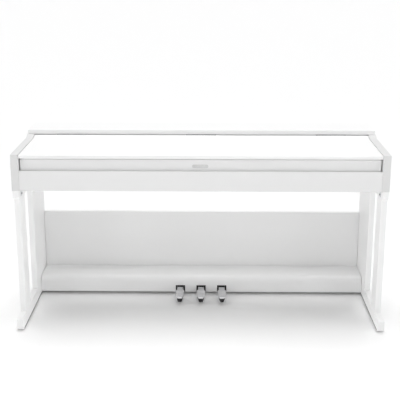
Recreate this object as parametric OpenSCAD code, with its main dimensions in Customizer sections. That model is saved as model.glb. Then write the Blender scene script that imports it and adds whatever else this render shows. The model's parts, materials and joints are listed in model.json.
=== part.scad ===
/* [Overall] */
// Overall width across the arms
width = 1400; // [1390:1:1440]
// Depth from the toe of the foot to the back of the stand
depth = 492; // [480:1:520]
// Height of the underside of the keyboard cabinet
cabinet_z = 545; // [540:1:600]

/* [Cabinet] */
// Thickness of an arm, the cabinet's side panel
arm_t = 29; // [25:1:32]
// Height of an arm at its front
arm_h = 139; // [137:1:145]
// Distance that the toe of the foot reaches out in front of the arm
toe_reach = 52; // [40:1:60]
// Rise of the ramp at the back of the arm and the lid
ramp_rise = 9; // [6:1:12]
// Length of that ramp
ramp_run = 24; // [20:1:30]
// Thickness of the rear top board
board_t = 18; // [15:1:22]
// Depth of the rear top board
board_d = 137; // [130:1:145]
// Height of the key slip, the board in front of the keys
slip_h = 75; // [73:1:77]
// Thickness of the key slip and of the bottom board
panel_t = 18; // [15:1:20]

/* [Lid] */
// Thickness of the lid board
lid_t = 12; // [10:1:13]
// Set-back of the lid's front panel behind the lid's edge
lid_setback = 16; // [12:1:18]
// Clearance at each end of the lid
lid_gap = 1.5; // [1:0.5:4]
// Clearance at each end of the lid's front panel
drop_gap = 4.5; // [3:0.5:6]
// Height of the groove between the lid and its front panel
groove_h = 7; // [3:0.5:8]

/* [Keyboard] */
// Pitch of the white keys
pitch = 23.6; // [23.4:0.05:23.7]
// Height of the top of the white keys above the underside of the cabinet
key_top = 95; // [90:1:98]
// Visible length of a white key in front of the control panel
key_len = 148; // [140:1:150]
// Visible length of a black key
black_len = 97; // [90:1:100]
// Height of a black key above the white ones
black_rise = 12; // [9:1:13]

/* [Stand] */
// Thickness of a side frame
frame_t = 22; // [18:1:24]
// Depth of the front post
post_d = 75; // [60:5:110]
// Depth of the rear post
rear_d = 210; // [130:5:220]
// Height of the foot
foot_h = 50; // [40:1:55]
// Height of the top edge of the back panel
back_top = 322; // [250:1:340]

/* [Pedals] */
// Spacing of the pedals
pedal_gap = 87; // [75:1:90]
// Height of the pedal box
box_h = 78; // [76:1:84]
// Depth of the pedal box
box_d = 127; // [117:1:140]
// Width of a pedal's notch in the box
notch_w = 39; // [37:1:42]

/* [Hidden] */
$fn = 48;

e = 0.5;                              // overlap of a cutting shape past the face it cuts
front_y = -depth / 2 + toe_reach;     // front face of the arms
rear_y = depth / 2;                   // back of the stand
board_y1 = rear_y - 6;                // back of the cabinet
board_y0 = board_y1 - board_d;        // front edge of the rear top board
inner_x = width / 2 - arm_t;          // inner face of an arm
arm_z = cabinet_z + arm_h;            // top of an arm at its front
ramp_y = board_y0 - 5 - ramp_run;     // foot of the ramp
board_z = arm_z + ramp_rise;          // underside of the rear top board
bed_z = cabinet_z + panel_t;          // top of the bottom board
slip_z = cabinet_z + slip_h;          // top of the key slip
slip_y = front_y + 1;                 // front face of the key slip
back_y0 = board_y1 - panel_t;         // front face of the cabinet's back

lid_z = arm_z - 1;                    // top of the lid
lid_y = front_y - 4;                  // front edge of the lid
lid_w = 2 * (inner_x - lid_gap);      // width of the lid
drop_w = 2 * (inner_x - drop_gap);    // width of its front panel
groove_t = 5;                         // depth of that groove
lid_rest = 1;                         // gap under the front panel of the closed lid
lip_h = 2;                            // lip of the key slip in front of that gap
lid_y1 = board_y0 - 7;                // rear edge of the lid
drop_y = lid_y + lid_setback;         // front face of the lid's front panel
hinge_y = board_y0 - 3.5;             // lid hinge axis
hinge_z = board_z - 2.5;
knuckle_r = 2.2;
pin_r = 1.2;
knuckle_l = 24;
leaf_t = 1.4;
hinge_x = [-520, 0, 520];             // centres of the three hinges

white_z = cabinet_z + key_top;        // top of the white keys
white_h = 20;                         // depth of a white key
keys_x = -26 * pitch;                 // left end of the row of keys
keys_y = drop_y + lid_t + 3;          // front of the white keys
panel_y = keys_y + key_len;           // front edge of the control panel
panel_z = white_z + 16;               // underside of the control panel
panel_top = panel_z + 3;
black_y = panel_y - black_len;        // front of the black keys
black_w = 10.4;
slot_w = 12.2;                        // slot in the white keys for a black one
stick_w = 9;                          // key behind the control panel's edge
stick_y = panel_y + 22;
key_y1 = panel_y + 64;                // back end of a key
pivot_y = panel_y + 52;               // key pivot axis
pivot_z = white_z - 10;
rod_r = 2.5;

frame_x = width / 2 - 2 - frame_t;    // inner face of a side frame
post_y = front_y + 20;                // front of the front post
post_y1 = post_y + post_d;
rear_y0 = rear_y - rear_d;            // front of the rear post
rail_z = cabinet_z - 40;              // underside of the top rail
glide_t = 5;                          // thickness of the pads under the feet
toe_r = 12;                           // round at the bottom of the toe
back_t = 18;
back_panel_y = rear_y - back_t;       // front face of the back panel
box_z = 11;                           // underside of the pedal box
box_y = back_panel_y - box_d;          // front face of the pedal box
box_w = 2 * (frame_x - 1.5);
box_t = 18;

axle_y = box_y + 59;                  // pedal pivot axis
axle_z = 30;
axle_r = 4;
pedal_tail = axle_y + 42;
spring_y = pedal_tail - 9;
spring_z0 = axle_z + 6.3;             // bottom of a pedal spring
spring_z1 = box_z + 46;               // top of a pedal spring
speaker_x = 450;
speaker_y = (board_y0 + back_y0) / 2 + 3;
speaker_r = 50;
socket_x = -470;
socket_z = 615;
knob_x = -600;
button_y = panel_y + 58;
bolt_r = 3;                           // stand bolts
bolt_z = [40, 120, 300];
screw_y = [post_y + 24, rear_y0 + 70];   // middles of the stand brackets

function octave_x(i) = keys_x + (i - degree(i)) * pitch;
function degree(i) = (i + 5) % 7;     // 0 for C up to 6 for B
function has_black(i) = i >= 0 && i < 51 && degree(i) != 2 && degree(i) != 6;
// Middle of the lane of a white key (s = 0) or of the black key above it (s = 1)
function lane(i, s) = let (d = degree(i)) octave_x(i) + (d < 3
    ? (2 * d + s + 0.5) * 3 * pitch / 5
    : 3 * pitch + (2 * (d - 3) + s + 0.5) * 4 * pitch / 7);

// A board of thickness t from x, its outline drawn in the Y-Z plane
module side_board(x, t) {
    translate([x, 0, 0]) rotate([90, 0, 90]) linear_extrude(t) children();
}

module mirrored() {
    children();
    mirror([1, 0, 0]) children();
}

module block(x0, x1, y0, y1, z0, z1) {
    translate([x0, y0, z0]) cube([x1 - x0, y1 - y0, z1 - z0]);
}

module rod_x(x0, x1, y, z, r) {
    translate([x0, y, z]) rotate([0, 90, 0]) cylinder(h = x1 - x0, r = r);
}

// ---- cabinet ----
module arm() {
    side_board(inner_x, arm_t) polygon([[front_y, cabinet_z], [front_y, arm_z],
        [ramp_y, arm_z], [ramp_y + ramp_run, board_z], [board_y1, board_z],
        [board_y1, cabinet_z]]);
}

module right_arm() color("white") arm();
module left_arm() color("white") mirror([1, 0, 0]) arm();

module key_slip() color("white") {
    block(-inner_x, inner_x, slip_y, slip_y + panel_t, cabinet_z, slip_z);
    block(-inner_x, inner_x, slip_y, drop_y - 1, cabinet_z, slip_z + lip_h);
}

module key_bed() color("white") difference() {
    block(-inner_x, inner_x, slip_y + panel_t, board_y1, cabinet_z, bed_z);
    mirrored() translate([speaker_x, speaker_y, cabinet_z - e])
        cylinder(h = panel_t + 2 * e, r = speaker_r);
}

module cabinet_back() color("white") difference() {
    block(-inner_x, inner_x, back_y0, board_y1, bed_z, board_z);
    block(socket_x - 80, socket_x + 80, back_y0 - e, board_y1 + e, socket_z - 18, socket_z + 18);
}

module rear_top_board() color("white")
    block(-width / 2 + 3, width / 2 - 3, board_y0, board_y1, board_z, board_z + board_t);

module control_panel() color("whitesmoke") difference() {
    union() {
        block(-inner_x + e, inner_x - e, panel_y, board_y0 + 17, panel_z, panel_top);
        block(-inner_x + e, inner_x - e, board_y0 + 14, board_y0 + 17, panel_top, board_z);
    }
    translate([knob_x, button_y, panel_z - e]) cylinder(h = 3 + 2 * e, r = 3.06);
    for (x = [-knob_x, knob_x + 45])
        translate([x, button_y, panel_z - e]) cylinder(h = 3 + 2 * e, r = 6.06);
}

module cheek_blocks() color("white")
    mirrored() block(-inner_x, keys_x - 1, keys_y, panel_y, bed_z, panel_z);

module key_frame() color("silver") {
    block(keys_x, -keys_x, keys_y + 8, key_y1, bed_z, bed_z + 2);
    block(keys_x, -keys_x, keys_y + 20, keys_y + 34, bed_z + 2, white_z - white_h - 13);
    for (i = [2:7:51]) difference() {
        translate([octave_x(i) - 1.2, pivot_y - 9, bed_z + 2]) cube([2.4, 18, pivot_z + 7 - bed_z]);
        rod_x(octave_x(i) - 2, octave_x(i) + 2, pivot_y, pivot_z, rod_r + 0.05);
    }
}

module key_pivot_rod() color("silver")
    rod_x(keys_x - 0.5, -keys_x + 0.5, pivot_y, pivot_z, rod_r);

module main_board() color("seagreen") {
    block(-300, -60, board_y0 + 22, back_y0 - 12, bed_z + 12, bed_z + 13.6);
    for (x = [-296, -64], y = [board_y0 + 27, back_y0 - 17])
        translate([x, y, bed_z]) cylinder(h = 12, r = 3);
    block(-230, -190, board_y0 + 40, board_y0 + 80, bed_z + 13.6, bed_z + 17);
    block(-150, -90, board_y0 + 35, board_y0 + 60, bed_z + 13.6, bed_z + 26);
}

module socket_plate() color("dimgray") difference() {
    union() {
        block(socket_x - 88, socket_x + 88, board_y1, board_y1 + 2, socket_z - 24, socket_z + 24);
        for (x = [-66, -34, 2, 30])
            translate([socket_x + x, board_y1 - 12, socket_z - 9]) cube([18, 12.5, 18]);
    }
    for (x = [-57, -25]) translate([socket_x + x, board_y1 + 2 + e, socket_z])
        rotate([90, 0, 0]) cylinder(h = 16, r = 3.25);
    translate([socket_x + 11, board_y1 + 2 + e, socket_z])
        rotate([90, 0, 0]) cylinder(h = 10, r = 5);
    translate([socket_x + 39, board_y1 + 2 + e, socket_z]) rotate([90, 0, 0]) difference() {
        cylinder(h = 10, r = 2.8);
        cylinder(h = 10, r = 1);
    }
    block(socket_x + 56, socket_x + 70, board_y1 - e, board_y1 + 2 + e, socket_z - 3, socket_z + 3);
}

// ---- speakers, which face down through the bottom board ----
module speaker_frames() color("dimgray") mirrored()
    translate([speaker_x, speaker_y, bed_z]) rotate_extrude()
        polygon([[47, 0], [56, 0], [56, 3], [50, 3], [30, 32], [32, 32], [32, 50], [0, 50],
            [0, 30], [26, 30]]);

module speaker_cones() color("black") mirrored()
    translate([speaker_x, speaker_y, bed_z]) rotate_extrude()
        polygon([[0, 24], [17, 24], [44, -3], [49.5, -3], [49.5, -1.5], [45, -1.5],
            [18, 26], [0, 26]]);

module speaker_grilles() color("black") mirrored()
    translate([speaker_x, speaker_y, cabinet_z - 1.5]) difference() {
        cylinder(h = 1.5, r = speaker_r + 8);
        for (i = [-6:6]) translate([i * 7 - 2, -sqrt(pow(speaker_r - 2, 2) - pow(i * 7, 2)), -e])
            cube([4, 2 * sqrt(pow(speaker_r - 2, 2) - pow(i * 7, 2)), 3]);
    }

// ---- lid ----
module lid_top() color("white")
    side_board(-lid_w / 2, lid_w) polygon([[lid_y, lid_z - lid_t], [lid_y, lid_z],
        [ramp_y, lid_z], [lid_y1, lid_z + (lid_y1 - ramp_y) * ramp_rise / ramp_run],
        [lid_y1, lid_z - lid_t + (lid_y1 - ramp_y) * ramp_rise / ramp_run],
        [ramp_y, lid_z - lid_t]]);

module lid_front() color("white") difference() {
    block(-drop_w / 2, drop_w / 2, drop_y, drop_y + lid_t, slip_z + lid_rest, lid_z - lid_t);
    block(-drop_w / 2 - e, drop_w / 2 + e, drop_y - e, drop_y + groove_t,
        lid_z - lid_t - groove_h, lid_z - lid_t + e);
}

module music_ledge() color("white")
    block(-320, 320, panel_y - 26, panel_y - 12, white_z + black_rise + 4, lid_z - lid_t);

module lid_bumpers() color("dimgray")
    for (x = [-560, 0, 560]) translate([x, drop_y + lid_t / 2, slip_z + 0.3])
        cylinder(h = lid_rest - 0.3, r = 4);

// Knuckles of one hinge: five along the pin, the leaf's own being those from k0
module knuckles(k0, leaf_y, leaf_z, leaf_l) {
    difference() {
        union() for (k = [k0:2:4]) {
            x = (k - 2.5) * knuckle_l;
            rod_x(x + 0.2, x + knuckle_l - 0.2, hinge_y, hinge_z, knuckle_r);
            translate([x + 0.2, leaf_y, leaf_z]) cube([knuckle_l - 0.4, leaf_l[0], leaf_l[1]]);
        }
        rod_x(-3 * knuckle_l, 3 * knuckle_l, hinge_y, hinge_z, pin_r + 0.05);
    }
}

module lid_hinge_leaves() color("dimgray") for (x = hinge_x) translate([x, 0, 0]) {
    knuckles(1, lid_y1, hinge_z - 1.2, [2.2, 1.2]);
    block(-2.5 * knuckle_l, 2.5 * knuckle_l, lid_y1, lid_y1 + leaf_t - 0.4,
        hinge_z - 9, hinge_z - 1.2);
}

module cabinet_hinge_leaves() color("dimgray") for (x = hinge_x) translate([x, 0, 0]) {
    knuckles(0, hinge_y + 0.5, board_z - leaf_t, [4, leaf_t]);
    block(-2.5 * knuckle_l, 2.5 * knuckle_l, hinge_y + 4.5, hinge_y + 16.5,
        board_z - leaf_t, board_z);
}

module hinge_pins() color("dimgray") for (x = hinge_x)
    rod_x(x - 2.5 * knuckle_l, x + 2.5 * knuckle_l, hinge_y, hinge_z, pin_r);

// ---- keys ----
module key_stick(x) {
    difference() {
        block(x - stick_w / 2, x + stick_w / 2, stick_y - e, key_y1,
            white_z - white_h + 4, white_z - 2);
        rod_x(x - stick_w, x + stick_w, pivot_y, pivot_z, rod_r + 0.05);
    }
}

module white_key(i) {
    x = keys_x + i * pitch;
    difference() {
        union() {
            block(x + 0.4, x + pitch - 0.4, keys_y, keys_y + 2, white_z - white_h, white_z);
            block(x + 0.4, x + pitch - 0.4, keys_y + 2, stick_y, white_z - white_h + 2, white_z);
        }
        for (j = [i - 1, i]) if (has_black(j))
            block(lane(j, 1) - slot_w / 2, lane(j, 1) + slot_w / 2, black_y - 1, stick_y + e,
                white_z - white_h - e, white_z + e);
    }
    key_stick(lane(i, 0));
}

module black_key(i) {
    x = lane(i, 1);
    side_board(x - black_w / 2, black_w) polygon([[black_y, white_z - white_h + 4],
        [black_y, white_z], [black_y + 5, white_z + black_rise],
        [panel_y + 4, white_z + black_rise - 1], [panel_y + 4, white_z - 2],
        [stick_y, white_z - 2], [stick_y, white_z - white_h + 4]]);
    key_stick(x);
}

module white_keys(i0, i1) color("ivory") for (i = [i0:i1]) white_key(i);
module black_keys(i0, i1) color("black") for (i = [i0:i1]) if (has_black(i)) black_key(i);

module white_keys_bass() white_keys(0, 22);
module black_keys_bass() black_keys(0, 22);
module white_keys_treble() white_keys(30, 51);
module black_keys_treble() black_keys(30, 51);
module key_c() white_keys(23, 23);
module key_c_sharp() black_keys(23, 23);
module key_d() white_keys(24, 24);
module key_d_sharp() black_keys(24, 24);
module key_e() white_keys(25, 25);
module key_f() white_keys(26, 26);
module key_f_sharp() black_keys(26, 26);
module key_g() white_keys(27, 27);
module key_g_sharp() black_keys(27, 27);
module key_a() white_keys(28, 28);
module key_a_sharp() black_keys(28, 28);
module key_b() white_keys(29, 29);

// ---- controls ----
module push_button(x) translate([x, button_y, panel_z - 2]) {
    cylinder(h = 8.5, r = 6);
    cylinder(h = 1.5, r = 8);
}

module power_button() color("gainsboro") push_button(-knob_x);
module sound_button() color("gainsboro") push_button(knob_x + 45);
module volume_knob() color("gainsboro") translate([knob_x, button_y, 0]) {
    translate([0, 0, panel_top + 0.4]) cylinder(h = 7.5, r = 9);
    translate([0, 0, panel_z - 8]) cylinder(h = 12, r = 3);
}

// ---- stand ----
module side_frame() difference() {
    side_board(frame_x, frame_t) difference() {
        polygon([[front_y, cabinet_z], [front_y, cabinet_z - 27], [post_y, rail_z],
            [post_y, foot_h], [rear_y, foot_h], [rear_y, cabinet_z]]);
        translate([post_y1, foot_h - e]) square([rear_y0 - post_y1, rail_z - foot_h + e]);
    }
    for (z = bolt_z) if (z > foot_h) bolt_hole(back_panel_y + back_t / 2, z);
}

module bolt_hole(y, z) {
    rod_x(frame_x - e, width / 2, y, z, bolt_r + 0.2);
    rod_x(frame_x + frame_t - 3.5, width / 2, y, z, 6.2);
}

module right_side_frame() color("white") side_frame();
module left_side_frame() color("white") mirror([1, 0, 0]) side_frame();

module foot() difference() {
    side_board(frame_x - 1, frame_t + 2) {
        translate([-rear_y + toe_r, glide_t]) square([depth - toe_r, foot_h - glide_t]);
        translate([-rear_y, glide_t + toe_r]) square([toe_r + 1, foot_h - glide_t - toe_r - 4]);
        translate([-rear_y + toe_r, glide_t + toe_r]) circle(r = toe_r);
        translate([-rear_y + 4, foot_h - 4]) circle(r = 4);
        translate([-rear_y + 4, foot_h - 9]) square([9, 9]);
    }
    bolt_hole_foot();
}

module bolt_hole_foot() {
    rod_x(frame_x - 2, width / 2 + 1, back_panel_y + back_t / 2, bolt_z[0], bolt_r + 0.2);
    rod_x(frame_x + frame_t - 3.5, width / 2 + 1, back_panel_y + back_t / 2, bolt_z[0], 6.2);
}

module right_foot() color("white") foot();
module left_foot() color("white") mirror([1, 0, 0]) foot();

module back_panel() color("white") difference() {
    block(-frame_x + 1, frame_x - 1, back_panel_y, rear_y, box_z, back_top);
    mirrored() for (z = bolt_z)
        rod_x(frame_x - 20, frame_x, back_panel_y + back_t / 2, z, bolt_r + 0.1);
}

// Outline of the pedal box: the front and the top are one board with a round corner
module box_outline(y0, z1, r) {
    translate([y0 + r, box_z - 1]) square([back_panel_y - y0 - r, z1 - box_z + 1]);
    translate([y0, box_z - 1]) square([r + 1, z1 - box_z + 1 - r]);
    translate([y0 + r, z1 - r]) circle(r = r);
}

module pedal_box() color("white") difference() {
    side_board(-box_w / 2, box_w) difference() {
        box_outline(box_y, box_h, 28);
        box_outline(box_y + box_t, box_h - box_t, 10);
        translate([box_y - e, box_z - 2]) square([130, 2]);
    }
    for (i = [-1:1]) block(i * pedal_gap - notch_w / 2, i * pedal_gap + notch_w / 2,
        box_y - 1, box_y + box_t + 1, box_z - 1, box_z + 29);
}

module pedal_base() color("white") difference() {
    block(-box_w / 2, box_w / 2, box_y + box_t, back_panel_y, box_z, box_z + 8);
    translate([0, axle_y - 24, box_z - 1]) cylinder(h = 10, r = 5.05);
}

module pedal_brackets() color("silver") {
    for (i = [-1.5:1.5]) difference() {
        block(i * pedal_gap - 2, i * pedal_gap + 2, axle_y - 14, pedal_tail + 4,
            box_z + 8, spring_z1 + 2);
        rod_x(i * pedal_gap - 4, i * pedal_gap + 4, axle_y, axle_z, axle_r + 0.05);
    }
    block(-1.5 * pedal_gap - 2, 1.5 * pedal_gap + 2, spring_y - 10, pedal_tail + 4,
        spring_z1, spring_z1 + 2);
}

module pedal_axle() color("silver")
    rod_x(-1.5 * pedal_gap - 8, 1.5 * pedal_gap + 8, axle_y, axle_z, axle_r);

function arc(y, r, a0, a1) = [for (i = [0:12]) let (a = a0 + (a1 - a0) * i / 12)
    [r * cos(a), y + r * sin(a)]];

// Outline of a pedal seen from above: shank, round bell and a slightly narrower nose
module pedal_plan() {
    shank = 12;                       // half the width of the shank
    bell_y = box_y - 50;
    nose_y = box_y - 92;
    bell_r = 18;
    nose_r = 15;
    flank = asin((bell_r - nose_r) / (bell_y - nose_y));
    neck = acos(shank / bell_r);
    polygon(concat([[shank, pedal_tail]], arc(bell_y, bell_r, neck, -flank),
        arc(nose_y, nose_r, -flank, flank - 180), arc(bell_y, bell_r, flank - 180, -neck - 180),
        [[-shank, pedal_tail]]));
}

module pedal(i) color("silver") translate([i * pedal_gap, 0, 0]) difference() {
    intersection() {
        translate([0, 0, 5]) linear_extrude(45) pedal_plan();
        side_board(-20, 40) polygon([[pedal_tail + 1, axle_z + 6], [box_y - 92, axle_z + 6],
            [box_y - 101, axle_z + 4], [box_y - 106, axle_z - 3], [box_y - 108, axle_z - 15],
            [box_y - 104, axle_z - 19], [box_y - 90, axle_z - 19], [box_y - 74, axle_z - 12],
            [box_y - 50, axle_z - 6], [pedal_tail + 1, axle_z - 6]]);
    }
    rod_x(-20, 20, axle_y, axle_z, axle_r + 0.05);
}

module left_pedal() pedal(-1);
module middle_pedal() pedal(0);
module right_pedal() pedal(1);

// A coil spring, its wire swept along a helix
module coil(r, wire, turns, h) {
    steps = 14;
    sides = 8;
    n = steps * turns;
    pts = [for (k = [0:n], s = [0:sides - 1])
        let (t = 360 * k / steps, a = 360 * s / sides, q = r + wire * cos(a))
        [q * cos(t), q * sin(t), wire + (h - 2 * wire) * k / n + wire * sin(a)]];
    walls = [for (k = [0:n - 1], s = [0:sides - 1])
        let (u = (s + 1) % sides)
        [k * sides + s, k * sides + u, (k + 1) * sides + u, (k + 1) * sides + s]];
    polyhedron(pts, concat([[for (s = [sides - 1:-1:0]) s]], walls,
        [[for (s = [0:sides - 1]) n * sides + s]]), 4);
}

module pedal_spring(i) color("silver") translate([i * pedal_gap, spring_y, spring_z0])
    coil(6, 0.8, 6, spring_z1 - spring_z0 - 0.3);

module left_spring() pedal_spring(-1);
module middle_spring() pedal_spring(0);
module right_spring() pedal_spring(1);

module support_bolt() color("dimgray") translate([0, axle_y - 24, 0]) {
    cylinder(h = box_z - 5, r = 16);
    cylinder(h = box_z + 6, r = 5);
}

module foot_glides() color("dimgray") mirrored()
    block(frame_x - 0.5, frame_x + frame_t + 0.5, 30 - rear_y, rear_y - 14, 0, glide_t);

module stand_brackets() color("silver") mirrored() for (y = screw_y) {
    block(frame_x - 1.5, frame_x, y - 12, y + 12, cabinet_z - 30, cabinet_z - 1.5);
    block(frame_x - 30, frame_x, y - 12, y + 12, cabinet_z - 1.5, cabinet_z);
}

module stand_screws() color("dimgray") mirrored() {
    for (z = bolt_z) translate([frame_x + frame_t - 3.4, back_panel_y + back_t / 2, z])
        rotate([0, 90, 0]) difference() {
            union() {
                cylinder(h = 2.6, r = 6);
                translate([0, 0, -34]) cylinder(h = 34, r = bolt_r);
            }
            translate([0, 0, 1]) cylinder(h = 2, r = 2.6, $fn = 6);
        }
    for (y = screw_y, z = [-22, -10]) translate([frame_x - 1.5, y, cabinet_z + z])
        rotate([0, -90, 0]) cylinder(h = 1.6, r1 = 3.6, r2 = 2.4);
    for (y = screw_y) translate([frame_x - 18, y, cabinet_z - 4.3]) cylinder(h = 2.8, r = 5);
}

left_arm();
right_arm();
key_slip();
key_bed();
cabinet_back();
rear_top_board();
control_panel();
cheek_blocks();
key_frame();
key_pivot_rod();
main_board();
socket_plate();
speaker_frames();
speaker_cones();
speaker_grilles();
lid_top();
lid_front();
music_ledge();
lid_bumpers();
lid_hinge_leaves();
cabinet_hinge_leaves();
hinge_pins();
white_keys_bass();
black_keys_bass();
white_keys_treble();
black_keys_treble();
key_c();
key_c_sharp();
key_d();
key_d_sharp();
key_e();
key_f();
key_f_sharp();
key_g();
key_g_sharp();
key_a();
key_a_sharp();
key_b();
power_button();
volume_knob();
sound_button();
left_side_frame();
right_side_frame();
left_foot();
right_foot();
back_panel();
pedal_box();
pedal_base();
pedal_brackets();
pedal_axle();
left_pedal();
middle_pedal();
right_pedal();
left_spring();
middle_spring();
right_spring();
support_bolt();
foot_glides();
stand_brackets();
stand_screws();
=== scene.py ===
import json
from math import radians

import bpy
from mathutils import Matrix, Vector


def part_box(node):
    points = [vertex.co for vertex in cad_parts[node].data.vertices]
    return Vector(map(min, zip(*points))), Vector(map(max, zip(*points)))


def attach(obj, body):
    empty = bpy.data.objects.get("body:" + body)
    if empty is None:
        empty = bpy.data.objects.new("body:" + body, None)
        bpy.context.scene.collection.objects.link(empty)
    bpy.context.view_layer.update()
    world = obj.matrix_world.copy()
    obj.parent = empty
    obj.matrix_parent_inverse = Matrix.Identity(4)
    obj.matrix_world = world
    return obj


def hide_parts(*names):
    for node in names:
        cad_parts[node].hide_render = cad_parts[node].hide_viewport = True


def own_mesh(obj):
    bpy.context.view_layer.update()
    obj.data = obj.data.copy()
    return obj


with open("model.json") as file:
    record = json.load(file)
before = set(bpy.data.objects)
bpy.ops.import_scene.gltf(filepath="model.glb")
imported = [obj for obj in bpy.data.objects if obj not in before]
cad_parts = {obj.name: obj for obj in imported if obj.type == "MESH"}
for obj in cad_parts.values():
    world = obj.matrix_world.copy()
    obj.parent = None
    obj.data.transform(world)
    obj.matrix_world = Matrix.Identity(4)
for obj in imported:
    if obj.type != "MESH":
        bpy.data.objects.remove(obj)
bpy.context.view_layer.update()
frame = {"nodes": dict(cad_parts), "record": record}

nodes = frame["nodes"]

# The camera stands in front of the piano, a little above the height of the lid, and looks slightly
# down at it, so that the lid's top shows as a narrow band above the front boards.
camera_data = bpy.data.cameras.new("camera")
camera_data.sensor_width = 36.0
camera_data.lens = 72.4
camera_data.shift_y = -0.125
camera = bpy.data.objects.new("camera", camera_data)
camera.location = (0.0346, -3.044, 1.433)
camera.rotation_euler = (radians(90 - 14.34), 0, radians(0.71))
bpy.context.scene.collection.objects.link(camera)
bpy.context.scene.camera = camera
bpy.context.scene.view_settings.view_transform = "Standard"

# The room is a white studio: a wide sweep of matt white floor, pale walls that are brightest near
# the horizon, a large soft box overhead, a low soft light from each side and from the rear, and a
# wide soft box in front and above, which draws bright lines on the rounded edges and the chrome.
bpy.ops.object.select_all(action="DESELECT")
bpy.ops.mesh.primitive_plane_add(size=60, location=(0, 0, -0.0005))
studio_floor = bpy.context.active_object
studio_floor.name = "studio_floor"
floor_paint = bpy.data.materials.new("matt_floor_paint")
floor_paint.use_nodes = True
paint_shader = floor_paint.node_tree.nodes["Principled BSDF"]
paint_shader.inputs["Base Color"].default_value = (0.93, 0.93, 0.93, 1)
paint_shader.inputs["Roughness"].default_value = 0.9
paint_shader.inputs["Specular IOR Level"].default_value = 0.1
studio_floor.data.materials.append(floor_paint)

CEILING_LIGHT = 0
WALL_LIGHT = 0.77
WALL_HEIGHT = 0.7
BACKDROP_LIGHT = 1.05
surround = bpy.data.worlds.new("white_surround")
surround.use_nodes = True
walls = surround.node_tree
wires = walls.links
wall_glow = walls.nodes["Background"]
wall_glow.inputs["Color"].default_value = (1, 1, 1, 1)
heading = walls.nodes.new("ShaderNodeTexCoord")
heading_parts = walls.nodes.new("ShaderNodeSeparateXYZ")
slope = walls.nodes.new("ShaderNodeMath")
slope.operation = "ABSOLUTE"
wall_band = walls.nodes.new("ShaderNodeMapRange")
wall_band.interpolation_type = "SMOOTHSTEP"
wall_band.inputs["From Max"].default_value = WALL_HEIGHT
wall_band.inputs["To Min"].default_value = WALL_LIGHT
wall_band.inputs["To Max"].default_value = CEILING_LIGHT
wires.new(heading.outputs["Generated"], heading_parts.inputs[0])
wires.new(heading_parts.outputs["Z"], slope.inputs[0])
wires.new(slope.outputs[0], wall_band.inputs["Value"])
wires.new(wall_band.outputs["Result"], wall_glow.inputs["Strength"])
seen_white = walls.nodes.new("ShaderNodeBackground")
seen_white.inputs["Color"].default_value = (1, 1, 1, 1)
seen_white.inputs["Strength"].default_value = BACKDROP_LIGHT
ray = walls.nodes.new("ShaderNodeLightPath")
seen_or_lit = walls.nodes.new("ShaderNodeMixShader")
wires.new(ray.outputs["Is Camera Ray"], seen_or_lit.inputs[0])
wires.new(wall_glow.outputs[0], seen_or_lit.inputs[1])
wires.new(seen_white.outputs[0], seen_or_lit.inputs[2])
wires.new(seen_or_lit.outputs[0], walls.nodes["World Output"].inputs["Surface"])
bpy.context.scene.world = surround

for name, energy, softness, turn in (
    ("overhead_light", 2.25, 45, (-5, 0, 0)),
    ("left_soft_light", 1.3, 50, (80, 0, -75)),
    ("right_soft_light", 1.3, 50, (80, 0, 75)),
    ("rear_soft_light", 0.5, 90, (-60, 0, 0)),
):
    lamp_data = bpy.data.lights.new(name, "SUN")
    lamp_data.energy = energy
    lamp_data.angle = radians(softness)
    lamp = bpy.data.objects.new(name, lamp_data)
    lamp.rotation_euler = [radians(degrees) for degrees in turn]
    bpy.context.scene.collection.objects.link(lamp)
front_light_data = bpy.data.lights.new("front_soft_light", "AREA")
front_light_data.shape = "RECTANGLE"
front_light_data.size = 1.8
front_light_data.size_y = 1.6
front_light_data.energy = 10
front_light = bpy.data.objects.new("front_soft_light", front_light_data)
front_light.location = (0, -1.85, 2.4)
front_light.rotation_euler = (radians(38), 0, 0)
front_light.visible_camera = False
bpy.context.scene.collection.objects.link(front_light)


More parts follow.
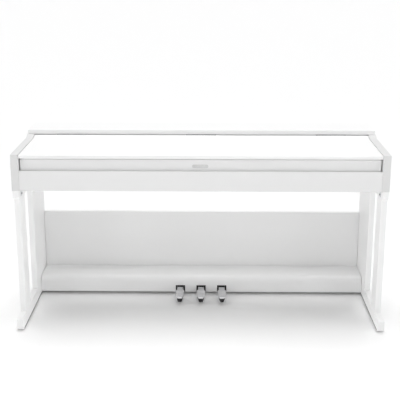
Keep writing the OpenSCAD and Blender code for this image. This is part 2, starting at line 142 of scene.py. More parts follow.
# The boards are chipboard wrapped and sprayed in satin white lacquer. Every long edge is eased to a
# small round before spraying, so it catches a thin line of light. The arms and the front boards take
# greyer copies of this lacquer: painted shade, standing for the lesser light on their front faces.
def surface_group(name, fine_node, fine_scale, slow_scale, stretch=(1, 1, 1)):
    """A shared surface: fine relief in the height, and a slow drift in shade and gloss."""
    group = bpy.data.node_groups.new(name, "ShaderNodeTree")
    for label, kind, value in (
        ("Colour", "NodeSocketColor", (0.9, 0.9, 0.9, 1)),
        ("Roughness", "NodeSocketFloat", 0.4),
        ("Drift", "NodeSocketFloat", 0.03),
    ):
        socket = group.interface.new_socket(name=label, in_out="INPUT", socket_type=kind)
        socket.default_value = value
    for label, kind in (
        ("Colour", "NodeSocketColor"),
        ("Roughness", "NodeSocketFloat"),
        ("Height", "NodeSocketFloat"),
    ):
        group.interface.new_socket(name=label, in_out="OUTPUT", socket_type=kind)
    given = group.nodes.new("NodeGroupInput")
    result = group.nodes.new("NodeGroupOutput")
    place = group.nodes.new("ShaderNodeTexCoord")
    grain = group.nodes.new("ShaderNodeMapping")
    grain.inputs["Scale"].default_value = stretch
    fine = group.nodes.new(fine_node)
    fine.inputs["Scale"].default_value = fine_scale
    slow = group.nodes.new("ShaderNodeTexNoise")
    slow.inputs["Scale"].default_value = slow_scale
    slow.inputs["Detail"].default_value = 4
    centred = group.nodes.new("ShaderNodeMath")
    centred.operation = "SUBTRACT"
    centred.inputs[1].default_value = 0.5
    shade = group.nodes.new("ShaderNodeMath")
    shade.operation = "MULTIPLY_ADD"
    shade.inputs[2].default_value = 1.0
    tint = group.nodes.new("ShaderNodeVectorMath")
    tint.operation = "SCALE"
    gloss = group.nodes.new("ShaderNodeMath")
    gloss.operation = "DIVIDE"
    for source, target in (
        (place.outputs["Object"], grain.inputs["Vector"]),
        (grain.outputs["Vector"], fine.inputs["Vector"]),
        (place.outputs["Object"], slow.inputs["Vector"]),
        (slow.outputs["Fac"], centred.inputs[0]),
        (centred.outputs[0], shade.inputs[0]),
        (given.outputs["Drift"], shade.inputs[1]),
        (given.outputs["Colour"], tint.inputs[0]),
        (shade.outputs[0], tint.inputs["Scale"]),
        (given.outputs["Roughness"], gloss.inputs[0]),
        (shade.outputs[0], gloss.inputs[1]),
        (tint.outputs[0], result.inputs["Colour"]),
        (gloss.outputs[0], result.inputs["Roughness"]),
        (fine.outputs[0], result.inputs["Height"]),
    ):
        group.links.new(source, target)
    return group


def surfaced(name, group, colour, roughness, drift, depth, metallic=0.0, strength=0.5):
    """A Principled material that takes its colour, gloss and relief from a shared surface."""
    material = bpy.data.materials.new(name)
    material.use_nodes = True
    tree = material.node_tree
    shader = tree.nodes["Principled BSDF"]
    shader.inputs["Metallic"].default_value = metallic
    surface = tree.nodes.new("ShaderNodeGroup")
    surface.node_tree = group
    surface.inputs["Colour"].default_value = (*colour, 1)
    surface.inputs["Roughness"].default_value = roughness
    surface.inputs["Drift"].default_value = drift
    relief = tree.nodes.new("ShaderNodeBump")
    relief.inputs["Distance"].default_value = depth
    relief.inputs["Strength"].default_value = strength
    tree.links.new(surface.outputs["Colour"], shader.inputs["Base Color"])
    tree.links.new(surface.outputs["Roughness"], shader.inputs["Roughness"])
    tree.links.new(surface.outputs["Height"], relief.inputs["Height"])
    tree.links.new(relief.outputs["Normal"], shader.inputs["Normal"])
    return material


sprayed_film = surface_group("sprayed_film", "ShaderNodeTexNoise", 420, 5)
white_lacquer = surfaced("satin_white_lacquer", sprayed_film, (0.9, 0.9, 0.9), 0.4, 0.03, 4e-5)
# The two greyer copies below are painted shade for the front faces of the front boards and arms.
front_boards_painted_shade = surfaced("satin_lacquer_front_shade_painted", sprayed_film, (0.8, 0.8, 0.8), 0.4, 0.03, 4e-5)
arms_painted_shade = surfaced("satin_lacquer_arm_shade_painted", sprayed_film, (0.72, 0.72, 0.72), 0.42, 0.03, 4e-5)

BODY_OF = {
    node: body for body, members in frame["record"]["behaviour"]["bodies"].items()
    for node in members
}
SLOT_OF = {part["node"]: part["material_slot"] for part in frame["record"]["subparts"]}


def merged_copy(node, name):
    """A copy of a CAD part with its loose triangles merged into whole faces."""
    bpy.ops.object.select_all(action="DESELECT")
    nodes[node].select_set(True)
    bpy.context.view_layer.objects.active = nodes[node]
    bpy.ops.object.duplicate()
    piece = bpy.context.active_object
    piece.name = name
    piece.parent = None
    for key in list(piece.keys()):
        del piece[key]
    bpy.ops.object.mode_set(mode="EDIT")
    bpy.ops.mesh.select_all(action="SELECT")
    bpy.ops.mesh.remove_doubles(threshold=0.000005)
    bpy.ops.mesh.dissolve_limited(angle_limit=radians(0.2))
    bpy.ops.object.mode_set(mode="OBJECT")
    bpy.ops.mesh.customdata_custom_splitnormals_clear()
    piece.data.materials.clear()
    return piece


def round_edges(piece, edge, steps=3, sharper_than=35):
    """Rounds the edges of a piece that turn by more than an angle, and smooths it."""
    bpy.ops.object.select_all(action="DESELECT")
    piece.select_set(True)
    bpy.context.view_layer.objects.active = piece
    rounding = piece.modifiers.new("rounding", "BEVEL")
    rounding.width = edge
    rounding.segments = steps
    rounding.limit_method = "ANGLE"
    rounding.angle_limit = radians(sharper_than)
    rounding.harden_normals = True
    bpy.ops.object.shade_smooth_by_angle(angle=radians(35))
    bpy.ops.object.modifier_apply(modifier="rounding")


def eased_part(node, material, edge, steps=3):
    """A CAD part with rounded edges and its finish, which stands for the plain part."""
    piece = merged_copy(node, node + "_eased")
    round_edges(piece, edge, steps)
    piece.data.materials.append(material)
    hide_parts(node)
    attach(piece, BODY_OF[node])
    return piece


for node, edge in (
    ("left_side_frame", 0.0012), ("right_side_frame", 0.0012),
    ("left_foot", 0.002), ("right_foot", 0.002), ("back_panel", 0.001),
    ("cabinet_back", 0.0008), ("rear_top_board", 0.0015),
    ("cheek_blocks", 0.001),
):
    eased_part(node, white_lacquer, edge)
# The arms take the darkest copy, painted shade for their front faces.
for node in ("left_arm", "right_arm"):
    eased_part(node, arms_painted_shade, 0.0012)
# The key slip takes the greyer front copy, painted shade for its front face.
eased_part("key_slip", front_boards_painted_shade, 0.0014)


# Each foot stands on one long strip of thick black felt, which is cut from sheet and glued along its
# underside.
def finish_part(node, material):
    """Gives a CAD part that keeps its own shape its finish."""
    for slot in nodes[node].material_slots:
        slot.material = material


felt_nap = surface_group("felt_nap", "ShaderNodeTexNoise", 1400, 60)
black_felt = surfaced("black_felt", felt_nap, (0.02, 0.02, 0.021), 0.95, 0.6, 3e-4)
black_felt.node_tree.nodes["Principled BSDF"].inputs["Sheen Weight"].default_value = 0.3
finish_part("foot_glides", black_felt)

# The pedal box is one board, folded to a front and a top with a wide round between them. Each pedal
# comes out through a notch in its lower edge, which a moulded black liner frames and a black felt
# curtain closes round the pedal's shank.
eased_part("pedal_box", white_lacquer, 0.0008)
moulded_grain = surface_group("moulded_grain", "ShaderNodeTexVoronoi", 1300, 25)
black_moulding = surfaced("black_moulding", moulded_grain, (0.012, 0.012, 0.013), 0.6, 0.25, 2e-4)
# Its near black is a painted reflection where the pedal lever shows below the chrome nose.
lever_painted_reflection = surfaced("lever_moulding_painted_reflection", moulded_grain, (0.008, 0.008, 0.009), 0.5, 0.25, 8e-5)


def pick(piece, kind, test):
    """Opens a piece for editing with only the faces or edges that pass a test selected."""
    bpy.ops.object.select_all(action="DESELECT")
    piece.select_set(True)
    bpy.context.view_layer.objects.active = piece
    bpy.ops.object.mode_set(mode="EDIT")
    bpy.ops.mesh.select_mode(type=kind)
    bpy.ops.mesh.select_all(action="DESELECT")
    bpy.ops.object.mode_set(mode="OBJECT")
    if kind == "FACE":
        for face in piece.data.polygons:
            face.select = test(face.center, face.normal)
    else:
        points = piece.data.vertices
        for line in piece.data.edges:
            line.select = all(test(points[v].co) for v in line.vertices)
    bpy.ops.object.mode_set(mode="EDIT")


def start_box(name, low, high):
    """A box between two corners, the start of a piece."""
    low, high = Vector(low), Vector(high)
    bpy.ops.object.select_all(action="DESELECT")
    bpy.ops.mesh.primitive_cube_add(size=1, location=(low + high) / 2, scale=high - low)
    piece = bpy.context.active_object
    piece.name = name
    bpy.ops.object.transform_apply(location=True, rotation=True, scale=True)
    return piece


def dress(piece, material, body):
    """Gives a new piece its finish and the body that it moves with."""
    piece.data.materials.append(material)
    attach(piece, body)


box_low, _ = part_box("pedal_box")
BOX_BOARD = 0.018
NOTCH_HALF = 0.0195
NOTCH_TOP = box_low.z + 0.029
LINER_WALL = 0.0012
LINER_SET_BACK = 0.0006
LINER_LIFT = 0.0005
CURTAIN_SET_BACK = 0.0045
CURTAIN_FOOT = box_low.z - 0.003
CURTAIN_FELT = 0.002
SHANK_ROOM = 0.0127
SHANK_HEADROOM = 0.002
for side in ("left", "middle", "right"):
    pedal_low, pedal_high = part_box(side + "_pedal")
    middle = (pedal_low.x + pedal_high.x) / 2
    shank_top = pedal_high.z + SHANK_HEADROOM
    liner = start_box(
        side + "_notch_liner",
        (middle - NOTCH_HALF, box_low.y + LINER_SET_BACK, box_low.z + LINER_LIFT),
        (middle + NOTCH_HALF, box_low.y + BOX_BOARD, NOTCH_TOP),
    )
    pick(liner, "FACE", lambda centre, normal: abs(normal.y) > 0.9 or normal.z < -0.9)
    bpy.ops.mesh.delete(type="FACE")
    bpy.ops.object.mode_set(mode="OBJECT")
    wall = liner.modifiers.new("wall", "SOLIDIFY")
    wall.thickness = LINER_WALL
    wall.offset = -1
    bpy.ops.object.modifier_apply(modifier="wall")
    round_edges(liner, 0.0003, 2)
    dress(liner, black_moulding, "cabinet_and_stand")

    bpy.ops.object.select_all(action="DESELECT")
    curtain_y = box_low.y + CURTAIN_SET_BACK
    bpy.ops.mesh.primitive_plane_add(
        size=1, location=(middle, curtain_y, (CURTAIN_FOOT + NOTCH_TOP) / 2),
        rotation=(radians(90), 0, 0),
    )
    curtain = bpy.context.active_object
    curtain.name = side + "_notch_curtain"
    curtain.scale = (2 * (NOTCH_HALF - LINER_WALL), NOTCH_TOP - CURTAIN_FOOT, 1)
    bpy.ops.object.transform_apply(location=True, rotation=True, scale=True)
    bpy.ops.object.mode_set(mode="EDIT")
    for cut, across in (
        ((middle - SHANK_ROOM, 0, 0), (1, 0, 0)),
        ((middle + SHANK_ROOM, 0, 0), (1, 0, 0)),
        ((0, 0, shank_top), (0, 0, 1)),
    ):
        bpy.ops.mesh.select_all(action="SELECT")
        bpy.ops.mesh.bisect(plane_co=cut, plane_no=across)
    bpy.ops.object.mode_set(mode="OBJECT")
    pick(curtain, "FACE", lambda centre, normal: (
        abs(centre.x - middle) < SHANK_ROOM and centre.z < shank_top))
    bpy.ops.mesh.delete(type="FACE")
    bpy.ops.object.mode_set(mode="OBJECT")
    wall = curtain.modifiers.new("wall", "SOLIDIFY")
    wall.thickness = CURTAIN_FELT
    bpy.ops.object.modifier_apply(modifier="wall")
    dress(curtain, black_felt, "cabinet_and_stand")

# Inside the box a base board of melamine-faced chipboard carries a plated steel bracket with four
# uprights and the axle through them that all the pedals turn on. A coil spring stands between the
# bracket's top plate and each pedal's tail.
melamine_pearl = surface_group("melamine_pearl", "ShaderNodeTexNoise", 900, 3)
white_melamine = surfaced("white_melamine", melamine_pearl, (0.86, 0.86, 0.85), 0.5, 0.04, 6e-5)
drawn_metal = surface_group(
    "drawn_metal", "ShaderNodeTexNoise", 700, 35, stretch=(0.06, 1, 1)
)
zinc_plate = surfaced("bright_zinc_plate", drawn_metal, (0.66, 0.67, 0.69), 0.3, 0.5, 4e-5, 1.0)
# Darker plate for the hinges, a painted shade so they sit dark in their shaded gap.
hinge_zinc_painted_shade = surfaced("hinge_plate_painted_shade", drawn_metal, (0.4, 0.4, 0.41), 0.5, 0.4, 4e-5, 0.5)
black_zinc = surfaced("black_zinc_plate", drawn_metal, (0.035, 0.035, 0.037), 0.42, 0.4, 4e-5, 0.6)
finish_part("pedal_base", white_melamine)
for node in ("pedal_brackets", "pedal_axle", "stand_brackets", "key_frame", "key_pivot_rod"):
    finish_part(node, zinc_plate)
finish_part("stand_screws", black_zinc)
for side in ("left", "middle", "right"):
    node = side + "_spring"
    coil = merged_copy(node, node + "_coil")
    bpy.ops.object.shade_smooth_by_angle(angle=radians(50))
    coil.data.materials.append(zinc_plate)
    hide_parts(node)
    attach(coil, BODY_OF[node])
    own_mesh(coil)

# A pedal is a moulded lever with a pressed cap of polished chrome plate over it. The cap is flat on
# top and rolls over at the nose, where the narrower lever shows below it. The lever's near black is
# a painted reflection: it stands for the dark that the chrome nose reflects.
pedal_chrome = surfaced("polished_chrome", drawn_metal, (0.6, 0.6, 0.61), 0.11, 0.25, 5e-6, 1.0, 0.2)
CAP_DEPTH = 0.008
CAP_ROUND = 0.0036
SEAM_SLOPE = 0.09
LEVER_NARROWING = 0.84
KEEL_NARROWING = 0.7
KEEL_DEPTH = 0.003
for side in ("left", "middle", "right"):
    node = side + "_pedal"
    pedal_low, pedal_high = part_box(node)
    middle = (pedal_low.x + pedal_high.x) / 2
    seam = (middle, pedal_low.y, pedal_high.z - CAP_DEPTH)
    seam_up = (0, SEAM_SLOPE, 1)
    cap = merged_copy(node, side + "_pedal_cap")
    lever = merged_copy(node, side + "_pedal_lever")
    for piece, keeps_top in ((cap, True), (lever, False)):
        bpy.ops.object.select_all(action="DESELECT")
        piece.select_set(True)
        bpy.context.view_layer.objects.active = piece
        bpy.ops.object.mode_set(mode="EDIT")
        bpy.ops.mesh.select_all(action="SELECT")
        bpy.ops.mesh.bisect(plane_co=seam, plane_no=seam_up, use_fill=True,
                            clear_inner=keeps_top, clear_outer=not keeps_top)
        bpy.ops.object.mode_set(mode="OBJECT")
    round_edges(cap, CAP_ROUND, 6, 20)
    cap.data.materials.append(pedal_chrome)
    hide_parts(node)
    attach(cap, node)
    pick(lever, "EDGE", lambda point: point.y < box_low.y)
    bpy.ops.transform.resize(value=(LEVER_NARROWING, 1, 1), center_override=(middle, 0, 0))
    bpy.ops.object.mode_set(mode="OBJECT")
    pick(lever, "EDGE", lambda point: point.z < pedal_low.z + KEEL_DEPTH)
    bpy.ops.transform.resize(value=(KEEL_NARROWING, 1, 1), center_override=(middle, 0, 0))
    bpy.ops.object.mode_set(mode="OBJECT")
    round_edges(lever, 0.0015, 3)
    # The lever's near black is a painted reflection of the chrome nose.
    dress(lever, lever_painted_reflection, node)

# The middle of the pedal box stands on a black plastic disc on a threaded shank, which is turned by
# hand until the disc takes the weight of the player's foot.
eased_part("support_bolt", black_moulding, 0.0008)

# The bottom board of the cabinet is cut from white melamine-faced chipboard. Each of its two round
# openings takes a speaker that faces the floor: a moulded basket and magnet cover, a cone pressed
# from paper pulp, and a slotted black grille clipped in from below.
eased_part("key_bed", white_melamine, 0.0006)
pulp_fibre = surface_group("pulp_fibre", "ShaderNodeTexNoise", 2200, 90)
pressed_paper = surfaced("pressed_paper", pulp_fibre, (0.035, 0.034, 0.033), 0.85, 0.5, 2e-4)
finish_part("speaker_cones", pressed_paper)
finish_part("speaker_frames", black_moulding)
eased_part("speaker_grilles", black_moulding, 0.0003, 2)
cone_low, cone_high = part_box("speaker_cones")
DUST_CAP_RADIUS = 0.0165
DUST_CAP_CROWN = 0.45
DUST_CAP_SEAT = 0.586
for side, out in (("left", -1), ("right", 1)):
    cone_x = out * (cone_high.x - (cone_high.y - cone_low.y) / 2)
    cone_y = (cone_low.y + cone_high.y) / 2
    bpy.ops.object.select_all(action="DESELECT")
    bpy.ops.mesh.primitive_uv_sphere_add(
        segments=40, ring_count=20, radius=DUST_CAP_RADIUS,
        location=(cone_x, cone_y, DUST_CAP_SEAT + 0.001),
    )
    dust_cap = bpy.context.active_object
    dust_cap.name = side + "_speaker_dust_cap"
    dust_cap.scale.z = DUST_CAP_CROWN
    bpy.ops.object.transform_apply(location=True, rotation=True, scale=True)
    bpy.ops.object.mode_set(mode="EDIT")
    bpy.ops.mesh.bisect(plane_co=(0, 0, DUST_CAP_SEAT), plane_no=(0, 0, 1), clear_outer=True,
                        use_fill=True)
    bpy.ops.object.mode_set(mode="OBJECT")
    bpy.ops.object.shade_smooth_by_angle(angle=radians(35))
    dress(dust_cap, pressed_paper, "cabinet_and_stand")

# The main circuit board stands on four pillars behind the keys, left of the middle. It is glass fibre
# board under green solder mask, with black integrated circuits and pale connectors soldered to it.
solder_mask = surface_group("solder_mask", "ShaderNodeTexVoronoi", 260, 220)
circuit_board = surfaced("circuit_board", solder_mask, (0.02, 0.13, 0.06), 0.3, 0.7, 1e-4)
finish_part("main_board", circuit_board)
board_low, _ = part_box("main_board")
PILLAR_HEIGHT = 0.012
BOARD_THICKNESS = 0.0016
MASK_TOP = board_low.z + PILLAR_HEIGHT + BOARD_THICKNESS
CHIP_RIM = 0.0012
CHIP_DISH = 0.0004
for name, x, y, width, depth, height, finish, slot in (
    ("sound_chip", -0.215, 0.172, 0.022, 0.022, 0.0022, black_moulding, "dark_plastic"),
    ("power_chip", -0.12, 0.15, 0.012, 0.009, 0.003, black_moulding, "dark_plastic"),
    ("memory_chip", -0.17, 0.185, 0.014, 0.008, 0.0018, black_moulding, "dark_plastic"),
    ("panel_connector", -0.25, 0.202, 0.03, 0.006, 0.008, white_melamine, "white_melamine"),
    ("speaker_connector", -0.09, 0.2, 0.016, 0.006, 0.008, white_melamine, "white_melamine"),
):
    chip = start_box(name, (x - width / 2, y - depth / 2, MASK_TOP),
                     (x + width / 2, y + depth / 2, MASK_TOP + height))
    pick(chip, "FACE", lambda centre, normal: normal.z > 0.9)
    bpy.ops.mesh.inset(thickness=CHIP_RIM, depth=-CHIP_DISH)
    bpy.ops.object.mode_set(mode="OBJECT")
    round_edges(chip, 0.0003, 2)
    dress(chip, finish, "cabinet_and_stand")

# The socket plate is a black moulding screwed into an opening in the cabinet's back. Plated collars
# ring its two line output jacks and its power inlet, and a plated shell lines the round pedal socket.
eased_part("socket_plate", black_moulding, 0.0006, 2)
plate_low, plate_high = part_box("socket_plate")
plate_z = (plate_low.z + plate_high.z) / 2
for name, x, outer, wall, sunk, proud in (
    ("outer_jack_collar", -0.527, 0.0054, 0.0019, 0.0004, 0.0014),
    ("inner_jack_collar", -0.495, 0.0054, 0.0019, 0.0004, 0.0014),
    ("pedal_socket_shell", -0.459, 0.00495, 0.0005, 0.006, 0.0006),
    ("power_inlet_ring", -0.431, 0.0044, 0.0014, 0.0004, 0.0008),
):
    bpy.ops.object.select_all(action="DESELECT")
    bpy.ops.mesh.primitive_cylinder_add(
        vertices=48, radius=outer, depth=sunk + proud,
        location=(x, plate_high.y + (proud - sunk) / 2, plate_z), rotation=(radians(90), 0, 0),
    )
    collar = bpy.context.active_object
    collar.name = name
    bpy.ops.object.transform_apply(location=True, rotation=True, scale=True)
    pick(collar, "FACE", lambda centre, normal: abs(normal.y) > 0.9)
    bpy.ops.mesh.inset(thickness=wall)
    bpy.ops.mesh.bridge_edge_loops()
    bpy.ops.mesh.select_all(action="SELECT")
    bpy.ops.mesh.normals_make_consistent(inside=False)
    bpy.ops.object.mode_set(mode="OBJECT")
    round_edges(collar, min(0.0003, wall / 3), 2)
    dress(collar, zinc_plate, "cabinet_and_stand")

# The cabinet's back is held by pan-head screws with a cross recess along its top and bottom edges,
# and four more hold the socket plate. All are the same black zinc-plated screw.
back_low, back_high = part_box("cabinet_back")
SCREW_RADIUS = 0.0036
SCREW_HEIGHT = 0.0017
HEAD_ROUND = 0.0009
CROSS_LENGTH = 0.0036
CROSS_WIDTH = 0.0008
CROSS_FLOOR = 0.0001
SCREW_PITCH = 0.256
BACK_INSET = 0.009
PLATE_INSET = 0.005
bpy.ops.object.select_all(action="DESELECT")
bpy.ops.mesh.primitive_cylinder_add(vertices=32, radius=SCREW_RADIUS, depth=SCREW_HEIGHT,
                                    location=(0, 0, 0), rotation=(radians(-90), 0, 0))
pan_head = bpy.context.active_object
pan_head.name = "pan_head_pattern"
bpy.ops.object.transform_apply(location=True, rotation=True, scale=True)
pick(pan_head, "FACE", lambda centre, normal: normal.y > 0.9)
bpy.ops.mesh.region_to_loop()
bpy.ops.mesh.bevel(offset=HEAD_ROUND, segments=4, affect="EDGES")
bpy.ops.object.mode_set(mode="OBJECT")
for wide, tall in ((CROSS_LENGTH, CROSS_WIDTH), (CROSS_WIDTH, CROSS_LENGTH)):
    blade = start_box("blade", (-wide / 2, CROSS_FLOOR, -tall / 2),
                      (wide / 2, SCREW_HEIGHT + 0.0003, tall / 2))
    recess = pan_head.modifiers.new("recess", "BOOLEAN")
    recess.object = blade
    recess.solver = "EXACT"
    bpy.ops.object.select_all(action="DESELECT")
    pan_head.select_set(True)
    bpy.context.view_layer.objects.active = pan_head
    bpy.ops.object.modifier_apply(modifier="recess")
    bpy.data.objects.remove(blade)
bpy.ops.object.shade_smooth_by_angle(angle=radians(35))
screw_places = [
    (SCREW_PITCH * (place - 2.5), back_high.y, z) for place in range(6)
    for z in (back_low.z + BACK_INSET, back_high.z - BACK_INSET)
] + [
    (x, plate_high.y, z) for x in (plate_low.x + PLATE_INSET, plate_high.x - PLATE_INSET)
    for z in (plate_low.z + PLATE_INSET, plate_high.z - PLATE_INSET)
]
for count, (x, y, z) in enumerate(screw_places, 1):
    bpy.ops.object.select_all(action="DESELECT")
    pan_head.select_set(True)
    bpy.context.view_layer.objects.active = pan_head
    bpy.ops.object.duplicate()
    screw = bpy.context.active_object
    screw.name = f"back_screw_{count}"
    screw.location = (x, y + SCREW_HEIGHT / 2, z)
    bpy.ops.object.transform_apply(location=True, rotation=True, scale=True)
    dress(screw, black_zinc, "cabinet_and_stand")
bpy.data.objects.remove(pan_head)

# The keys are moulded: the white ones in glossy acrylic with softly rounded edges, the black ones
# with a fine matt grain. Those of the middle octave are separate and each one turns on the rod.
key_gloss = surface_group("key_gloss", "ShaderNodeTexNoise", 500, 40)
white_key = surfaced("white_key_acrylic", key_gloss, (0.86, 0.855, 0.83), 0.16, 0.04, 1e-5, 0, 0.3)
white_key.node_tree.nodes["Principled BSDF"].inputs["Coat Weight"].default_value = 0.4
black_key = surfaced("matt_black_key", moulded_grain, (0.011, 0.011, 0.012), 0.42, 0.3, 1.2e-4)
for node in list(nodes):
    if SLOT_OF[node] == "white_key":
        eased_part(node, white_key, 0.0009)
    elif SLOT_OF[node] == "black_key":
        eased_part(node, black_key, 0.0011)

# A strip of black felt is glued under the front edge of the control panel, just above the keys, so
# that no light shows past them. Another strip, on the front rail, stops each key as it is pressed.
panel_low, panel_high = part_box("control_panel")
key_low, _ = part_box("key_c")
rail_top = key_low.z - 0.013
EDGE_FELT_END = 0.055
EDGE_FELT_THICKNESS = 0.0024
STOP_FELT_HALF = 0.612
STOP_FELT_THICKNESS = 0.0025
FELT_LENGTHS = 12
for name, low, high in (
    ("panel_edge_felt",
     (panel_low.x + EDGE_FELT_END, panel_low.y + 0.0015, panel_low.z - EDGE_FELT_THICKNESS),
     (panel_high.x - EDGE_FELT_END, panel_low.y + 0.012, panel_low.z)),
    ("key_stop_felt", (-STOP_FELT_HALF, key_low.y + 0.021, rail_top),
     (STOP_FELT_HALF, key_low.y + 0.033, rail_top + STOP_FELT_THICKNESS)),
):
    felt = start_box(name, low, high)
    bpy.ops.object.mode_set(mode="EDIT")
    for at in range(1, FELT_LENGTHS):
        cut_x = low[0] + (high[0] - low[0]) * at / FELT_LENGTHS
        bpy.ops.mesh.select_all(action="SELECT")
        bpy.ops.mesh.bisect(plane_co=(cut_x, 0, 0), plane_no=(1, 0, 0))
    bpy.ops.object.mode_set(mode="OBJECT")
    round_edges(felt, 0.0008, 2)
    dress(felt, black_felt, "cabinet_and_stand")

# The control panel behind the keys is moulded in satin white plastic. Its two push buttons stand in
# round holes; a power mark and a volume scale are printed beside them in grey.
satin_panel = surfaced("satin_white_panel", moulded_grain, (0.8, 0.8, 0.8), 0.38, 0.04, 5e-5)
button_grey = surfaced("button_plastic", moulded_grain, (0.62, 0.62, 0.63), 0.35, 0.06, 4e-5)
print_grey = surfaced("printed_grey", moulded_grain, (0.06, 0.06, 0.065), 0.5, 0.2, 2e-5)
eased_part("control_panel", satin_panel, 0.0007)
for node in ("power_button", "sound_button"):
    eased_part(node, button_grey, 0.0007)
knob_low, knob_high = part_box("volume_knob")
knob_x = (knob_low.x + knob_high.x) / 2
knob_y = (knob_low.y + knob_high.y) / 2
PANEL_TOP = panel_low.z + 0.003
PRINT = 0.0001
LINE_HALF = 0.0003
SCALE_RADIUS = 0.0125
SCALE_MARK = 0.0022
SCALE_SWEEP = 280
SCALE_STEPS = 10
scale_mark = start_box(
    "volume_scale", (knob_x - LINE_HALF, knob_y + SCALE_RADIUS, PANEL_TOP - PRINT),
    (knob_x + LINE_HALF, knob_y + SCALE_RADIUS + SCALE_MARK, PANEL_TOP + PRINT),
)
bpy.ops.object.mode_set(mode="EDIT")
bpy.ops.mesh.select_all(action="SELECT")
bpy.ops.transform.rotate(value=radians(SCALE_SWEEP / 2), orient_axis="Z",
                         center_override=(knob_x, knob_y, 0))
for _ in range(SCALE_STEPS):
    bpy.ops.mesh.duplicate()
    bpy.ops.transform.rotate(value=radians(-SCALE_SWEEP / SCALE_STEPS), orient_axis="Z",
                             center_override=(knob_x, knob_y, 0))
bpy.ops.object.mode_set(mode="OBJECT")
dress(scale_mark, print_grey, "cabinet_and_stand")
power_low, power_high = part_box("power_button")
MARK_RADIUS = 0.0034
MARK_SWEEP = 290
mark_x = (power_low.x + power_high.x) / 2
mark_y = (power_low.y + power_high.y) / 2 + 0.016
power_mark = start_box("power_mark", (mark_x - LINE_HALF, mark_y + 0.0005, PANEL_TOP - PRINT),
                       (mark_x + LINE_HALF, mark_y + MARK_RADIUS, PANEL_TOP + PRINT))
bpy.ops.object.mode_set(mode="EDIT")
bpy.ops.mesh.select_all(action="SELECT")
bpy.ops.mesh.duplicate()
bpy.ops.transform.resize(value=(1, 0.2, 1), center_override=(mark_x, mark_y + MARK_RADIUS, 0))
bpy.ops.transform.rotate(value=radians((360 - MARK_SWEEP) / 2), orient_axis="Z",
                         center_override=(mark_x, mark_y, 0))
bpy.ops.mesh.spin(steps=30, angle=radians(MARK_SWEEP), center=(mark_x, mark_y, 0), axis=(0, 0, 1))
bpy.ops.object.mode_set(mode="OBJECT")
dress(power_mark, print_grey, "cabinet_and_stand")

# The volume knob is a fluted plastic cap with a dished top and a raised pointer, pressed on to the
# shaft of the control below the panel.
KNOB_RADIUS = (knob_high.x - knob_low.x) / 2
KNOB_FOOT = PANEL_TOP + 0.0004
KNOB_FACES = 72
FLUTE_DEPTH = 0.0004
POINTER_HALF = 0.0005
SHAFT_RADIUS = 0.003
SHAFT_TOP = KNOB_FOOT + 0.001
bpy.ops.object.select_all(action="DESELECT")
bpy.ops.mesh.primitive_cylinder_add(
    vertices=KNOB_FACES, radius=KNOB_RADIUS, depth=knob_high.z - KNOB_FOOT,
    location=(knob_x, knob_y, (knob_high.z + KNOB_FOOT) / 2),
)
knob = bpy.context.active_object
knob.name = "volume_knob_cap"
bpy.ops.object.transform_apply(location=True, rotation=True, scale=True)
pick(knob, "FACE", lambda centre, normal: (
    abs(normal.z) < 0.1
    and round(normal.to_2d().angle_signed(Vector((1, 0))) / radians(360 / KNOB_FACES)) % 3 == 0))
bpy.ops.mesh.inset(thickness=0.00012, depth=-FLUTE_DEPTH, use_individual=True)
bpy.ops.object.mode_set(mode="OBJECT")
pick(knob, "FACE", lambda centre, normal: normal.z > 0.9)
bpy.ops.mesh.inset(thickness=0.001)
bpy.ops.mesh.inset(thickness=0.0016, depth=-0.0007)
bpy.ops.mesh.inset(thickness=0.002, depth=-0.0003)
bpy.ops.object.mode_set(mode="OBJECT")
round_edges(knob, 0.0002, 2)
knob.data.materials.append(button_grey)
pointer = start_box(
    "volume_knob_pointer", (knob_x - POINTER_HALF, knob_y + 0.0038, knob_high.z - 0.0011),
    (knob_x + POINTER_HALF, knob_y + KNOB_RADIUS - 0.0006, knob_high.z - 0.00005),
)
round_edges(pointer, 0.0002, 2)
dress(pointer, print_grey, "volume_knob")
bpy.ops.object.select_all(action="DESELECT")
bpy.ops.mesh.primitive_cylinder_add(
    vertices=32, radius=SHAFT_RADIUS, depth=SHAFT_TOP - knob_low.z,
    location=(knob_x, knob_y, (SHAFT_TOP + knob_low.z) / 2),
)
shaft = bpy.context.active_object
shaft.name = "volume_knob_shaft"
bpy.ops.object.transform_apply(location=True, rotation=True, scale=True)
pick(shaft, "FACE", lambda centre, normal: normal.z < -0.9)
bpy.ops.mesh.inset(thickness=0.0005, depth=0.0004)
bpy.ops.object.mode_set(mode="OBJECT")
round_edges(shaft, 0.0002, 2)
dress(shaft, zinc_plate, "volume_knob")
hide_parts("volume_knob")
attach(knob, "volume_knob")

# The lid is two boards: the top, which slopes up at the back like the arms, and a front panel glued
# under it. The ledge that holds the music when the lid is open is fixed to its underside, with a
# ribbed rubber grip along it, and soft rubber bumpers meet the board below when the lid comes down.
eased_part("lid_top", white_lacquer, 0.0014)
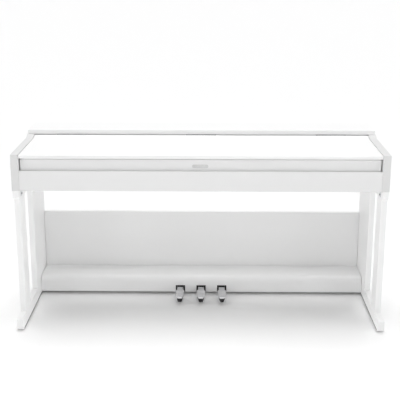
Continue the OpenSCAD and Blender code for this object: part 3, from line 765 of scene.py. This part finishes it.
# The lid's front panel takes the greyer front copy, painted shade for its front face.
eased_part("lid_front", front_boards_painted_shade, 0.0008)
eased_part("music_ledge", white_lacquer, 0.0012)
rubber_skin = surface_group("rubber_skin", "ShaderNodeTexNoise", 800, 50)
soft_rubber = surfaced("soft_grey_rubber", rubber_skin, (0.09, 0.09, 0.09), 0.75, 0.3, 8e-5)
finish_part("lid_bumpers", soft_rubber)
ledge_low, ledge_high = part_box("music_ledge")
GRIP_THICKNESS = 0.0012
GRIP_END = 0.004
GRIP_MARGIN = 0.003
RIB_WIDTH = 0.0011
grip = start_box(
    "music_ledge_grip",
    (ledge_low.x + GRIP_END, ledge_low.y - GRIP_THICKNESS, ledge_low.z + GRIP_MARGIN),
    (ledge_high.x - GRIP_END, ledge_low.y, ledge_high.z - GRIP_MARGIN),
)
pick(grip, "FACE", lambda centre, normal: normal.y < -0.9)
for depth in (-0.0004, 0.0004):
    bpy.ops.mesh.inset(thickness=RIB_WIDTH, depth=depth)
bpy.ops.object.mode_set(mode="OBJECT")
round_edges(grip, 0.0003, 2)
dress(grip, soft_rubber, "lid")

# A plain nickel-plated plate with rounded ends and a satin finish is let into the middle of the
# lid's front panel, and stands a little proud of it.
front_low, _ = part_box("lid_front")
PLATE_LENGTH = 0.06
PLATE_HEIGHT = 0.013
PLATE_MIDDLE = 0.639
PLATE_PROUD = 0.0007
PLATE_SUNK = 0.0005
plate = start_box(
    "lid_name_plate",
    (-PLATE_LENGTH / 2, front_low.y - PLATE_PROUD, PLATE_MIDDLE - PLATE_HEIGHT / 2),
    (PLATE_LENGTH / 2, front_low.y + PLATE_SUNK, PLATE_MIDDLE + PLATE_HEIGHT / 2),
)
pick(plate, "EDGE", lambda point: False)
bpy.ops.object.mode_set(mode="OBJECT")
for line in plate.data.edges:
    ends = [plate.data.vertices[v].co for v in line.vertices]
    line.select = abs(ends[0].y - ends[1].y) > PLATE_SUNK
bpy.ops.object.mode_set(mode="EDIT")
bpy.ops.mesh.bevel(offset=PLATE_HEIGHT * 0.45, segments=10, affect="EDGES")
bpy.ops.object.mode_set(mode="OBJECT")
round_edges(plate, 0.0003, 2)
satin_plate = surfaced("satin_nickel_plate", drawn_metal, (0.62, 0.62, 0.62), 0.36, 0.3, 3e-5, 0.8)
dress(plate, satin_plate, "lid")

# Three zinc-plated hinges join the lid to the board behind it. Their plate is given a darker colour,
# a painted shade so that they sit dark in the shaded gap. Between and beside them, white plastic
# strips under that board's front edge keep dust out of the gap.
for node in ("lid_hinge_leaves", "cabinet_hinge_leaves", "hinge_pins"):
    finish_part(node, hinge_zinc_painted_shade)
hinge_low, hinge_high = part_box("hinge_pins")
rear_low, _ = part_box("rear_top_board")
hinge_y = (hinge_low.y + hinge_high.y) / 2
HINGE_PLACE = 0.52
HINGE_HALF = 0.0605
STRIP_END = 0.668
STRIP_DROP = 0.004
STRIP_THICKNESS = 0.0014
RIB_HEIGHT = 0.0039
rib_y = rear_low.y + 0.0065
for count, (start, end) in enumerate((
    (-STRIP_END, -HINGE_PLACE - HINGE_HALF), (-HINGE_PLACE + HINGE_HALF, -HINGE_HALF),
    (HINGE_HALF, HINGE_PLACE - HINGE_HALF), (HINGE_PLACE + HINGE_HALF, STRIP_END),
), 1):
    dust_strip = start_box(
        f"dust_strip_{count}",
        (start, hinge_y - 0.0012, rear_low.z - STRIP_DROP - STRIP_THICKNESS),
        (end, rear_low.y + 0.008, rear_low.z - STRIP_DROP),
    )
    bpy.ops.object.mode_set(mode="EDIT")
    bpy.ops.mesh.select_all(action="SELECT")
    bpy.ops.mesh.bisect(plane_co=(0, rib_y, 0), plane_no=(0, 1, 0))
    bpy.ops.object.mode_set(mode="OBJECT")
    pick(dust_strip, "FACE", lambda centre, normal: normal.z > 0.9 and centre.y > rib_y)
    bpy.ops.mesh.extrude_region_move(TRANSFORM_OT_translate={"value": (0, 0, RIB_HEIGHT)})
    bpy.ops.object.mode_set(mode="OBJECT")
    round_edges(dust_strip, 0.0003, 2)
    dress(dust_strip, satin_panel, "cabinet_and_stand")
